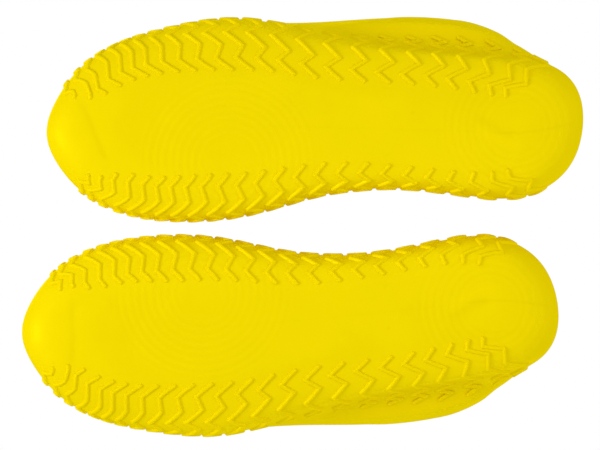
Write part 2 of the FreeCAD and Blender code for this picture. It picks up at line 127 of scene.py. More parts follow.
# Rows of the upper: front, back, height at the front and back, share of the oval shape,
# half width on the lateral and medial side, lean outward, and the bend of the front half.
UPPER_ROWS = [
    (5.0, 279.5, 30.5, 36.0, 0.2, 52.0, 37.0, 0.0, 1.0),
    (16.0, 278.0, 41.0, 48.0, 0.5, 54.5, 36.0, 0.0, 1.4),
    (38.0, 276.0, 50.0, 60.0, 0.8, 54.0, 34.0, 1.0, 1.9),
    (72.0, 273.5, 58.0, 75.0, 0.95, 54.0, 32.0, 3.0, 1.8),
    (108.0, 271.0, 69.0, 90.0, 1.0, 54.0, 30.0, 5.0, 1.3),
    (138.0, 269.0, 84.0, 103.0, 1.0, 53.5, 28.0, 7.0, 1.05),
    (156.0, 267.6, 98.5, 113.0, 1.0, 52.5, 26.0, 8.0, 1.0),
    (162.0, 267.0, 108.0, 120.0, 1.0, 51.5, 25.0, 8.5, 1.0),
]
BACK_NARROWING = 1.2
RISE_END = len(SOLE_ROWS) + len(UPPER_ROWS) - 3


def skin_place(row_index, step):
    """A place that the outer skin runs close to: a row of the skin, a step round the foot."""
    lateral = step <= HALF_ROUND
    station = step if lateral else STATIONS_ROUND - step
    angle = math.pi * station / HALF_ROUND
    back_share = (1 - math.cos(angle)) / 2
    outline = (LATERAL_OUTLINE if lateral else MEDIAL_OUTLINE)[station]
    if row_index < len(SOLE_ROWS):
        front, back, low, beside, high, lateral_in, medial_in = SOLE_ROWS[row_index]
        if lateral:
            inset = lateral_in * LATERAL_ROUNDING[station]
        else:
            inset = medial_in * MEDIAL_ROUNDING[station]
        across = outline - inset * math.sin(angle)
        height = low + (high - low) * back_share
        height += (beside - (low + high) / 2) * math.sin(angle) ** 2
    else:
        upper_row = UPPER_ROWS[row_index - len(SOLE_ROWS)]
        front, back, low, high, oval_share, lateral_wide, medial_wide, lean, early = upper_row
        bend = math.sin(angle) ** (early if station < HALF_ROUND // 2 else BACK_NARROWING)
        wide = lateral_wide if lateral else medial_wide
        shift = lean if lateral else -lean
        oval = shift + (wide - shift) * bend
        across = (1 - oval_share) * outline + oval_share * oval
        height = low + (high - low) * back_share
    if lateral:
        across += FLARES.get(row_index, 0) * FLARE_SHARES.get(station, 0)
    return (across if lateral else -across, front + (back - front) * back_share, height)


def skin_poles():
    """The poles of the spline, moved out so that it runs close to the places given."""
    rows = np.array([[skin_place(row, step) for step in range(STATIONS_ROUND)]
                     for row in range(len(SOLE_ROWS) + len(UPPER_ROWS))])
    bend = np.roll(rows, 1, axis=1) - 2 * rows + np.roll(rows, -1, axis=1)
    bend[2:-1] += rows[1:-2] - 2 * rows[2:-1] + rows[3:]
    return rows - bend / 6


POLES = skin_poles()


def round_weights(turns):
    """Weights of the poles round the foot, for a closed cubic spline."""
    gap = np.abs((turns[:, None] - np.arange(STATIONS_ROUND) + HALF_ROUND)
                 % STATIONS_ROUND - HALF_ROUND)
    near = 2 / 3 - gap ** 2 + gap ** 3 / 2
    far = np.clip(2 - gap, 0, None) ** 3 / 6
    return np.where(gap < 1, near, far)


def rise_weights(rises):
    """Weights of the rows, for a cubic spline that ends at its first and last row."""
    knots = np.concatenate([[0.0] * 3, np.arange(RISE_END + 1.0), [float(RISE_END)] * 3])
    place = np.clip(rises, 0, RISE_END - 1e-9)[:, None]
    weights = ((place >= knots[:-1]) & (place < knots[1:])).astype(float)
    for degree in (1, 2, 3):
        spans = len(knots) - 1 - degree
        start, end = knots[:spans], knots[degree:degree + spans]
        next_start, next_end = knots[1:spans + 1], knots[degree + 1:degree + 1 + spans]
        grow = (place - start) / np.where(end > start, end - start, np.inf)
        fade = (next_end - place) / np.where(next_end > next_start,
                                             next_end - next_start, np.inf)
        weights = grow * weights[:, :spans] + fade * weights[:, 1:spans + 1]
    return weights


def skin(turns, rises):
    """Places on the smooth skin, for matching arrays of turns and rises."""
    columns = rise_weights(rises) @ POLES.reshape(len(POLES), -1)
    columns = columns.reshape(len(turns), STATIONS_ROUND, 3)
    return np.einsum("nsx,ns->nx", columns, round_weights(turns))


def skin_net(turns, rises):
    """Places on the smooth skin for every turn at every rise, as a grid of rows."""
    rows = np.tensordot(rise_weights(rises), POLES, axes=1)
    return np.einsum("rsx,cs->rcx", rows, round_weights(turns))


def unit(vectors):
    """Vectors of the same directions and of length 1."""
    return vectors / np.linalg.norm(vectors, axis=-1, keepdims=True)


def with_outward(surface, turns, rises):
    """Places from skin or skin_net, and the outward directions there."""
    small = 0.01
    round_foot = surface(turns + small, rises) - surface(turns - small, rises)
    upward = (surface(turns, np.minimum(rises + small, RISE_END))
              - surface(turns, np.maximum(rises - small, 0)))
    return surface(turns, rises), unit(np.cross(round_foot, upward))


# --- Soft shapes of the moulding ----------------------------------------------------------
def smooth_step(low, high, value):
    """Rises softly from 0 at low to 1 at high."""
    share = np.clip((value - low) / (high - low), 0, 1)
    return share * share * (3 - 2 * share)


def hump(value, centre, width):
    """A soft hump that is 1 at its centre."""
    return np.exp(-((value - centre) / width) ** 2)


def distance_to(line, across, along):
    """The distance to a line through (across, along) points."""
    nearest = np.full(np.shape(across), np.inf)
    for (across_a, along_a), (across_b, along_b) in zip(line, line[1:]):
        run_across, run_along = across_b - across_a, along_b - along_a
        share = (across - across_a) * run_across + (along - along_a) * run_along
        share = np.clip(share / (run_across ** 2 + run_along ** 2), 0, 1)
        gap = np.hypot(across - across_a - share * run_across,
                       along - along_a - share * run_along)
        nearest = np.minimum(nearest, gap)
    return nearest


def soft_waves(across, along, height):
    """Slow unevenness of a thin soft moulding, from -1 to 1."""
    return (np.sin(along / 31 + height / 23 + 0.6) * np.sin(across / 27 - height / 37 + 1.1)
            + 0.5 * np.sin(along / 17 - across / 21 + height / 19 + 2.0)
            + 0.3 * np.sin(along / 11 + across / 13 - height / 12)) / 1.8


def window(start, full, fading, end, value):
    """Rises from 0 to 1 between start and full, and falls back between fading and end."""
    return smooth_step(start, full, value) * (1 - smooth_step(fading, end, value))


# How far the long fold under the collar stands out on the lateral side, at places along it.
FOLD_PLACES = [142, 155, 168, 185, 200, 214, 232, 245, 256, 266]
FOLD_REACHES = [0.0, 2.2, 5.0, 6.2, 6.8, 6.9, 5.5, 2.2, 0.4, 0.0]
FOLD_HEIGHT = 34.5
FOLD_WIDTH_BELOW = 5.0
FOLD_WIDTH_ABOVE = 9.0
VALLEY_DEPTH = 3.4
VALLEY_HEIGHT = 58
VALLEY_WIDTH = 11
BRIM_REACH = 0.7
BRIM_RANGE = (168, 190, 238, 247)
EDGE_RANGE = (150, 175, 245, 262)
WAIST_DEPTH = 1.1
WAIST_ALONG = 138
WAIST_WIDTH = 18
WAVE_REACH = 0.5


def bulk(places, rises):
    """How far the whole wall moves outward from the smooth skin: folds and creases."""
    across, along, height = np.moveaxis(places, -1, 0)
    upper = smooth_step(3.5, 6.5, rises)
    lateral = smooth_step(20, 32, across)
    fold_width = np.where(height < FOLD_HEIGHT, FOLD_WIDTH_BELOW, FOLD_WIDTH_ABOVE)
    fold = np.interp(along, FOLD_PLACES, FOLD_REACHES) * hump(height, FOLD_HEIGHT, fold_width)
    fading = 1 - 0.9 * smooth_step(195, 250, along)
    valley = (VALLEY_DEPTH * smooth_step(172, 205, along) * fading
              * hump(height, VALLEY_HEIGHT, VALLEY_WIDTH))
    edge = (window(*EDGE_RANGE, along)
            * (0.5 * hump(rises, 3.0, 0.5) - 0.2 * hump(rises, 4.6, 0.6)))
    brim = BRIM_REACH * window(*BRIM_RANGE, along) * smooth_step(60, 76, height)
    waist = (WAIST_DEPTH * smooth_step(20, 32, -across)
             * hump(along, WAIST_ALONG, WAIST_WIDTH) * upper)
    waves = WAVE_REACH * upper * soft_waves(across, along, height)
    return waves - waist + lateral * (fold - valley + edge + brim)


# Rings of flow round the gates of the mould: across, along, inner and outer radius, pitch.
# The lines after them are (across, along) places on the sole.
FLOW_RINGS = [(-18.0, 95.0, 13.0, 50.0, 3.9), (-5.3, 244.6, 14.0, 42.0, 3.9)]
TOE_CREASES = {"left": [(17, 18), (9, 22), (-3, 26.5), (-13, 30.5)],
               "right": [(16, 25.5), (6, 27), (-6, 27), (-15, 27.5)]}
PARTING_LINE = [(1.5, 89), (-1, 130), (-3.5, 170), (-6, 210), (-8.4, 240), (-8.3, 248),
                (-7.8, 256), (-6.4, 265), (-3.6, 279)]
GATE_MARK = (4, 191)
SWIRL_RIDGE = [(-6.9, 226), (-10.2, 232), (-13.4, 239), (-14.6, 245)]
SWIRL_HOLLOW = [(-0.5, 226.5), (-3.2, 231), (-6.0, 236), (-8.0, 242)]
# How far each mark stands out of the sole in millimetres, and its change of tone.
# The tones are painted shade and highlights, save the gate's, which only makes a darker spot.
MARKS = {"rings": (0.035, 0.012), "crease": (-0.2, -0.04), "ridge": (0.16, 0.025),
         "hollow": (-0.16, -0.03), "parting": (-0.06, -0.035), "gate": (0.0, -0.05)}


def sole_marks(side, across, along):
    """Faint mould marks on the sole: height towards the ground, and tone painting their
    shading.
    """
    rings = 0
    for middle_across, middle_along, first, last, pitch in FLOW_RINGS:
        radius = np.hypot(across - middle_across, along - middle_along)
        shown = window(first - 3, first + 3, last - 8, last, radius)
        rings = rings + shown * np.cos(2 * np.pi * radius / pitch)
    parting = hump(distance_to(PARTING_LINE, across, along), 0, 0.7)
    shapes = {
        "rings": rings,
        "crease": hump(distance_to(TOE_CREASES[side], across, along), 0, 2.3),
        "ridge": hump(distance_to(SWIRL_RIDGE, across, along), 0, 2.2),
        "hollow": hump(distance_to(SWIRL_HOLLOW, across, along), 0, 2.2),
        "parting": parting * (0.25 + 0.75 * smooth_step(228, 240, along)),
        "gate": hump(np.hypot(across - GATE_MARK[0], along - GATE_MARK[1]), 0, 0.9),
    }
    height = sum(MARKS[name][0] * shape for name, shape in shapes.items())
    tone_with_painted_shading = sum(MARKS[name][1] * shape for name, shape in shapes.items())
    return height, tone_with_painted_shading


# --- Building meshes ----------------------------------------------------------------------
# The attribute that holds the painted shade and highlights of the sole's marks.
PAINTED_SHADING_TONE = "tone_with_painted_shading"
SAME_PLACE = 1e-7


class MeshData:
    """Points and faces that are collected before they become one mesh."""

    def __init__(self):
        self.points = []
        self.tones_with_painted_shading = []
        self.faces = []
        self.count = 0

    def add_points(self, places, tones_with_painted_shading=0.0):
        """Adds points, and how much lighter or darker than plain each of them is."""
        places = np.asarray(places).reshape(-1, 3)
        first = self.count
        self.points.append(places)
        self.tones_with_painted_shading.append(np.broadcast_to(np.ravel(tones_with_painted_shading), len(places)))
        self.count += len(places)
        return first

    def add_face(self, corners):
        """A face from its corners in reverse order, unless it has shrunk to a line."""
        corners = list(dict.fromkeys(corners))
        if len(corners) > 2:
            self.faces.append(tuple(corners[::-1]))

    def add_grid(self, first, rows, columns, closed=False, flip=False):
        """Faces between neighbouring points of a grid that starts at point first."""
        for row in range(rows - 1):
            for column in range(columns if closed else columns - 1):
                beside = (column + 1) % columns
                face = (first + row * columns + column, first + row * columns + beside,
                        first + (row + 1) * columns + beside,
                        first + (row + 1) * columns + column)
                self.faces.append(face[::-1] if flip else face)


def placed(side, places):
    """Places on a cover, in metres in the frame of the pair."""
    places = np.asarray(places, float)
    mirror = 1 if side == "left" else -1
    x = mirror * (TIP_X + places[..., 0] * MM)
    y = TIP_Y[side] + places[..., 1] * MM
    return np.stack([x, y, places[..., 2] * MM], axis=-1)


def make_object(name, side, data, material):
    """A smooth-shaded object from collected points, with doubled points merged."""
    places = placed(side, np.concatenate(data.points))
    faces = data.faces if side == "right" else [face[::-1] for face in data.faces]
    mesh = bpy.data.meshes.new(name)
    mesh.from_pydata(places.tolist(), [], faces)
    tones_with_painted_shading = mesh.attributes.new(PAINTED_SHADING_TONE, "FLOAT", "POINT")
    tones_with_painted_shading.data.foreach_set("value", np.concatenate(data.tones_with_painted_shading).astype(np.float32))
    shape = bmesh.new()
    shape.from_mesh(mesh)
    bmesh.ops.remove_doubles(shape, verts=shape.verts, dist=SAME_PLACE)
    shape.to_mesh(mesh)
    shape.free()
    mesh.shade_smooth()
    mesh.materials.append(material)
    thing = bpy.data.objects.new(name, mesh)
    bpy.context.scene.collection.objects.link(thing)
    return thing


# --- The moulded wall of a cover ----------------------------------------------------------
# Columns run up the wall, and rows run round it.
COLUMN_SPACING = 0.95
CHORD_POINTS = 100
# Rises of the rows of the wall's mesh, which are closest together on the edge of the sole.
WALL_RISES = np.concatenate([np.linspace(0, 4.6, 62)[:-1], np.linspace(4.6, 11.3, 76)[:-1],
                             np.linspace(11.3, RISE_END, 10)])
INNER_EVERY = 3
SOLE_THICK = 2.5
WALL_THICK = 1.5
BEAD_REACH = 1.0
BEAD_HEIGHT = 2.2
BEAD_STEPS = 12
BEAD_START = -35
BEAD_SWEEP = 250


def column_turns():
    """Turns round the foot at even spacing, the same for the lateral and medial half."""
    fine = np.linspace(0, HALF_ROUND, 1201)
    level = np.full_like(fine, 3.0)
    steps = (np.linalg.norm(np.diff(skin(fine, level), axis=0), axis=1)
             + np.linalg.norm(np.diff(skin(STATIONS_ROUND - fine, level), axis=0), axis=1)) / 2
    length = np.concatenate([[0], np.cumsum(steps)])
    count = int(length[-1] / COLUMN_SPACING / INNER_EVERY) * INNER_EVERY
    half = np.interp(np.linspace(0, length[-1], count + 1), length, fine)
    return np.concatenate([half, STATIONS_ROUND - half[-2:0:-1]]), count


TURNS, HALF_COLUMNS = column_turns()
COLUMNS = len(TURNS)


def wall_grid(turns, rises):
    """The skin with its folds as a grid, and the outward directions."""
    places, outward = with_outward(skin_net, turns, rises)
    return places + outward * bulk(places, rises[:, None])[..., None], outward


def add_sole_flat(data, side, edge_row, first_outer):
    """The flat of the sole: chords from the lateral to the medial side."""
    starts, ends = edge_row[1:HALF_COLUMNS, None], edge_row[:HALF_COLUMNS:-1, None]
    chords = starts + (ends - starts) * np.linspace(0, 1, CHORD_POINTS)[1:-1, None]
    # The marks as relief, and as tone with their painted shade and highlights.
    marks, tones_with_painted_shading = sole_marks(side, chords[..., 0], chords[..., 1])
    chords[..., 2] = -marks
    first_chord = data.add_points(chords, tones_with_painted_shading)
    inside = CHORD_POINTS - 2

    def sole_point(column, place):
        if place == 0 or column in (0, HALF_COLUMNS):
            return first_outer + column
        if place == CHORD_POINTS - 1:
            return first_outer + (COLUMNS - column) % COLUMNS
        return first_chord + (column - 1) * inside + place - 1

    for column in range(HALF_COLUMNS):
        for place in range(CHORD_POINTS - 1):
            data.add_face([sole_point(column, place), sole_point(column, place + 1),
                           sole_point(column + 1, place + 1), sole_point(column + 1, place)])


def add_bead(data, rim, outward, last_outer):
    """The rolled bead on the rim. Gives the first point of its last row."""
    upward = unit(np.cross([1.0, 0, 0], rim[HALF_COLUMNS] - rim[0]))
    middle = rim - outward * WALL_THICK / 2
    reach = unit(outward - upward * (outward @ upward)[:, None])
    bead = []
    for step in range(1, BEAD_STEPS):
        angle = math.radians(BEAD_START + BEAD_SWEEP * step / BEAD_STEPS)
        bead.append(middle + reach * (WALL_THICK / 2 + BEAD_REACH) * math.cos(angle)
                    + upward * BEAD_HEIGHT * (0.5 + 0.5 * math.sin(angle)))
    first_bead = data.add_points(np.array(bead))
    for column in range(COLUMNS):
        beside = (column + 1) % COLUMNS
        data.faces.append((last_outer + column, first_bead + column, first_bead + beside,
                           last_outer + beside))
    data.add_grid(first_bead, len(bead), COLUMNS, closed=True, flip=True)
    return first_bead + (len(bead) - 1) * COLUMNS


def add_inner_skin(data, inner_start, last_bead):
    """The inner skin from the bead down to the insole, and the insole."""
    inner_turns = TURNS[::INNER_EVERY]
    inner_rises = np.concatenate([np.linspace(RISE_END, 4, 36), np.linspace(4, 0, 19)[1:]])
    shell, out = wall_grid(inner_turns, inner_rises)
    thick = np.interp(inner_rises, [0, 2.5, 4, RISE_END],
                      [SOLE_THICK, SOLE_THICK, WALL_THICK, WALL_THICK])
    shell = shell - out * thick[:, None, None]
    shell[0] = inner_start[::INNER_EVERY]
    first_inner = data.add_points(shell)
    inner_columns = len(inner_turns)
    data.add_grid(first_inner, len(shell), inner_columns, closed=True, flip=True)
    for column in range(inner_columns):
        beside = (column + 1) % inner_columns
        edge = [last_bead + (column * INNER_EVERY + k) % COLUMNS
                for k in range(INNER_EVERY + 1)]
        data.faces.append((first_inner + beside, *reversed(edge), first_inner + column))
    last_inner = first_inner + (len(shell) - 1) * inner_columns
    half = inner_columns // 2
    for column in range(half):
        data.add_face([last_inner + column, last_inner + column + 1,
                       last_inner + (inner_columns - column - 1) % inner_columns,
                       last_inner + (inner_columns - column) % inner_columns])


def cover_wall(side, material):
    """The whole moulding of a cover except its ribs, as one closed mesh."""
    data = MeshData()
    wall, outward = wall_grid(TURNS, WALL_RISES)
    # The sole's marks, as relief and as tone with painted shade and highlights, fade out up the
    # wall.
    marks, tones_with_painted_shading = sole_marks(side, wall[..., 0], wall[..., 1])
    fade = 1 - smooth_step(1.5, 3.8, WALL_RISES)[:, None]
    wall = wall + outward * (marks * fade)[..., None]
    first_outer = data.add_points(wall, tones_with_painted_shading * fade)
    data.add_grid(first_outer, len(wall), COLUMNS, closed=True, flip=True)
    add_sole_flat(data, side, wall[0], first_outer)
    last_bead = add_bead(data, wall[-1], outward[-1], first_outer + (len(wall) - 1) * COLUMNS)
    add_inner_skin(data, wall[-1] - outward[-1] * WALL_THICK, last_bead)
    return make_object(side + "_cover", side, data, material)


# --- The tread ribs -----------------------------------------------------------------------
RIBS_A_SIDE = 24
# Where the first rib starts on the sole, and the pitch from rib to rib along the foot.
FIRST_RIB = {"lateral": 15.4, "medial": 20.8}
PITCH_PLACES = [20, 33, 48, 62, 110, 165, 215, 240]
PITCHES = {"lateral": [8.0, 7.7, 6.9, 8.7, 10.7, 12.8, 9.7, 7.1],
           "medial": [6.8, 8.7, 8.0, 7.8, 10.1, 11.4, 10.2, 7.6]}
# The zigzag at nine places along the foot: how far each of its seven legs leans along the
# foot, and the rise of each of its eight corners, from the sole up. Ribs in between are
# blends of their neighbours.
SHAPE_PLACES = [15, 23, 32, 42, 70, 105, 165, 215, 240]
LEG_LEANS = {"lateral": [[0.0, 0.0, -4.2, -6.3, -8.1, -8.1, -6.9, -4.0, -0.1],
                         [-0.8, -1.8, -1.0, -0.4, 0.2, 3.5, 8.2, 10.4, 11.0],
                         [-4.0, -5.4, -4.4, -5.0, -5.5, -9.3, -7.0, -4.2, 0.6],
                         [1.6, 2.0, 2.6, 3.6, 5.3, 7.0, 8.3, 8.2, 11.5],
                         [-1.6, -2.0, -3.0, -4.0, -6.0, -8.5, -8.2, -8.5, -8.2],
                         [1.6, 2.0, 3.0, 4.0, 6.0, 8.0, 6.6, 7.0, 7.0],
                         [-1.6, -2.0, -2.6, -3.5, -5.0, -6.5, -6.0, -6.0, -6.0]],
             "medial": [[0.0, -0.3, -1.5, -2.8, -4.8, -5.0, -4.6, -2.7, 0.9],
                        [0.5, 0.5, 0.6, 0.5, 1.4, 3.8, 5.2, 7.5, 11.3],
                        [-4.0, -5.2, -7.0, -7.2, -8.9, -8.4, -7.0, -5.0, -2.0],
                        [1.4, 1.8, 2.4, 3.2, 5.5, 7.0, 7.0, 8.0, 9.0],
                        [-1.4, -1.8, -2.8, -3.6, -6.0, -7.0, -8.0, -8.0, -8.0],
                        [1.4, 1.8, 2.8, 3.7, 6.0, 7.0, 8.0, 9.0, 9.0],
                        [-1.4, -1.8, -2.4, -3.1, -5.0, -6.0, -7.0, -7.0, -7.0]]}
CORNER_RISES = {
    "lateral": [[2.52, 1.88, 1.45, 1.28, 0.90, 0.56, 1.13, 1.09, 0.98],
                [2.60, 2.00, 1.85, 1.85, 1.63, 1.35, 1.60, 1.51, 1.41],
                [2.80, 2.50, 2.50, 2.75, 2.45, 1.97, 2.13, 2.04, 1.78],
                [3.25, 3.22, 3.20, 3.80, 3.35, 2.75, 2.93, 2.93, 2.67],
                [3.80, 3.80, 3.90, 4.40, 3.90, 3.27, 4.30, 4.65, 3.80],
                [4.30, 4.30, 4.50, 4.80, 4.70, 4.60, 5.00, 5.15, 5.00],
                [4.70, 4.70, 4.90, 5.10, 5.20, 5.10, 5.25, 5.40, 5.35],
                [4.95, 4.95, 5.15, 5.35, 5.60, 5.50, 5.45, 5.58, 5.60]],
    "medial": [[2.45, 2.20, 1.60, 0.98, 0.35, 0.48, 0.95, 1.06, 1.04],
               [2.52, 2.32, 1.85, 1.46, 1.03, 1.16, 1.76, 1.90, 1.64],
               [2.70, 2.58, 2.30, 2.18, 2.03, 2.15, 2.45, 2.68, 2.36],
               [3.00, 3.02, 3.12, 3.20, 3.25, 3.20, 3.20, 3.40, 3.20],
               [3.60, 3.60, 3.70, 3.90, 3.90, 3.90, 3.90, 4.20, 4.00],
               [4.10, 4.15, 4.30, 4.52, 4.70, 4.80, 4.90, 5.00, 5.00],
               [4.50, 4.55, 4.70, 4.92, 5.10, 5.20, 5.30, 5.40, 5.40],
               [4.80, 4.85, 5.00, 5.22, 5.50, 5.60, 5.70, 5.80, 5.80]]}
RIB_SPACING = 1.3
CORNER_BLUNTING = 0.35
# Half of a rib's section: distance from its middle and height above the skin.
RIB_PROFILE = [(0.0, 1.15), (0.45, 1.1), (0.75, 0.9), (0.95, 0.55), (1.15, 0.15), (1.5, -0.25)]
CORNER_STEPS = 5
END_STEPS = 8
NEARBY_SECTIONS = 3


def through(places, values, place):
    """A smooth curve through the given values, level beyond both ends."""
    if place <= places[0]:
        return values[0]
    if place >= places[-1]:
        return values[-1]
    first = max(index for index in range(len(places) - 1) if places[index] <= place)
    span = places[first + 1] - places[first]
    share = (place - places[first]) / span

    def slope(index):
        if index == 0 or index == len(places) - 1:
            return 0.0
        return (values[index + 1] - values[index - 1]) / (places[index + 1] - places[index - 1])

    return (values[first] * (2 * share ** 3 - 3 * share ** 2 + 1)
            + slope(first) * span * (share ** 3 - 2 * share ** 2 + share)
            + values[first + 1] * (3 * share ** 2 - 2 * share ** 3)
            + slope(first + 1) * span * (share ** 3 - share ** 2))


def rib_starts(edge):
    """How far along the foot each rib starts on the sole."""
    starts = [FIRST_RIB[edge]]
    while len(starts) < RIBS_A_SIDE:
        starts.append(starts[-1] + through(PITCH_PLACES, PITCHES[edge], starts[-1]))
    return starts


def rib_corners(start, edge):
    """The corners of one rib, as (along, rise)."""
    along = start
    corners = [(along, through(SHAPE_PLACES, CORNER_RISES[edge][0], start))]
    for lean, rise in zip(LEG_LEANS[edge], CORNER_RISES[edge][1:]):
        along += through(SHAPE_PLACES, lean, start)
        corners.append((along, through(SHAPE_PLACES, rise, start)))
    return corners


def turns_at(along, rises, edge):
    """The turns round the foot at which the skin is this far along."""
    near, far = np.zeros(len(along)), np.full(len(along), float(HALF_ROUND))
    for _ in range(30):
        turn = (near + far) / 2
        around = turn if edge == "lateral" else STATIONS_ROUND - turn
        short = skin(around, rises)[:, 1] < along
        near, far = np.where(short, turn, near), np.where(short, far, turn)
    return turn if edge == "lateral" else STATIONS_ROUND - turn


def on_cover(spots, edge):
    """Places on the skin with its folds, and outward directions, for (along, rise) pairs."""
    along, rises = np.array(spots).T
    places, outward = with_outward(skin, turns_at(along, rises, edge), rises)
    return places + outward * bulk(places, rises)[:, None], outward


def rib_lines(edge):
    """For every rib: places along its middle, outward directions, and which are corners."""
    ribs = [rib_corners(start, edge) for start in rib_starts(edge)]
    corners, _ = on_cover([corner for rib in ribs for corner in rib], edge)
    corners = corners.reshape(len(ribs), -1, 3)
    spots, is_corner, lengths = [], [], []
    for rib, ends in zip(ribs, corners):
        before = len(spots)
        for index in range(len(rib) - 1):
            leg = np.linalg.norm(ends[index + 1] - ends[index])
            steps = max(2, round(leg / RIB_SPACING))
            shares = np.arange(steps)[:, None] / steps
            spots += list(rib[index] + (np.array(rib[index + 1]) - rib[index]) * shares)
            is_corner += [index > 0] + [False] * (steps - 1)
        spots.append(np.array(rib[-1]))
        is_corner.append(False)
        lengths.append(len(spots) - before)
    places, outward = on_cover(spots, edge)
    ends = np.cumsum(lengths)[:-1]
    return zip(np.split(places, ends), np.split(outward, ends), np.split(is_corner, ends))


def kept_on_their_side(places, is_corner, sections):
    """Slides points that lie past the halving plane of a corner back along their leg."""
    sections = np.array(sections)
    section_of = np.cumsum(np.where(is_corner, CORNER_STEPS, 1)) - 1
    for corner in np.flatnonzero(is_corner):
        place = places[corner]
        behind, ahead = unit(place - places[corner - 1]), unit(places[corner + 1] - place)
        plane = unit(behind + ahead)
        before = section_of[corner - 1]
        after = section_of[corner + 1]
        first = max(before - NEARBY_SECTIONS, -1)
        last = min(after + NEARBY_SECTIONS, len(sections))
        for way, leg, nearby in ((1, behind, range(before, first, -1)),
                                 (-1, ahead, range(after, last))):
            for section in nearby:
                past = np.maximum((sections[section] - place) @ plane * way, 0) * way
                sections[section] -= leg * (past / (leg @ plane))[:, None]
    return sections


def sweep_bar(data, places, outward, is_corner, profile):
    """A raised bar along a line on the skin, with round ends and slightly round corners."""
    full = [(-reach, high) for reach, high in profile[:0:-1]] + list(profile)
    sections = []
    count = len(places)
    for index in range(count):
        place, out = places[index], outward[index]
        if index == count - 1:
            ahead = unit(places[-1] - places[-2])
        else:
            ahead = unit(places[index + 1] - place)
        behind = unit(place - places[index - 1]) if index else ahead
        across_ahead = unit(np.cross(out, ahead))
        across_behind = unit(np.cross(out, behind))
        bisector = across_ahead + across_behind
        mitre = bisector * 2 / (bisector @ bisector)
        if not is_corner[index]:
            sections.append([place + mitre * reach + out * high for reach, high in full])
            continue
        turn_side = 1 if across_ahead @ behind < 0 else -1
        for step in range(CORNER_STEPS):
            share = step / (CORNER_STEPS - 1)
            fan = unit(across_behind * (1 - share) + across_ahead * share)
            fan = fan + (mitre - fan) * CORNER_BLUNTING * math.sin(math.pi * share)
            sections.append([place + (mitre if reach * turn_side > 0 else fan) * reach
                             + out * high for reach, high in full])
    sections = kept_on_their_side(places, is_corner, sections)
    for end, direction in ((0, -1), (-1, 1)):
        place, out = places[end], outward[end]
        run = places[1] - places[0] if end == 0 else places[-1] - places[-2]
        tip = unit(run) * direction
        across = unit(np.cross(out, unit(run)))
        cap = []
        for step in range(END_STEPS + 1):
            angle = math.pi * step / END_STEPS
            arm = across * math.cos(angle) + tip * math.sin(angle)
            cap.append([place + arm * reach + out * high for reach, high in profile])
        first = data.add_points(np.array(cap))
        data.add_grid(first, END_STEPS + 1, len(profile), flip=end == 0)
        foot = [first + step * len(profile) + len(profile) - 1 for step in range(END_STEPS + 1)]
        data.faces.append(tuple(foot if end == 0 else foot[::-1]))
    first = data.add_points(np.array(sections))
    wide = len(full)
    data.add_grid(first, len(sections), wide)
    for row in range(len(sections) - 1):
        start = first + row * wide
        data.faces.append((start + wide - 1, start, start + wide, start + 2 * wide - 1))


def rib_group(side, edge, material):
    """All the ribs of one edge of a cover, as one object."""
    data = MeshData()
    for places, outward, is_corner in rib_lines(edge):
        sweep_bar(data, places, outward, is_corner, RIB_PROFILE)
    return make_object("%s_%s_ribs" % (side, edge), side, data, material)


# --- Materials ----------------------------------------------------------------------------
YELLOW = (0.86, 0.675, 0.0)
SHEEN_YELLOW = (1.0, 0.8, 0.01, 1)


def add_node(owner, kind, sockets=None, **settings):
    """A node of a material or of the world, with these socket values and properties."""
    node = owner.node_tree.nodes.new(kind)
    for name, value in settings.items():
        setattr(node, name, value)
    for name, value in (sockets or {}).items():
        node.inputs[name].default_value = value
    return node


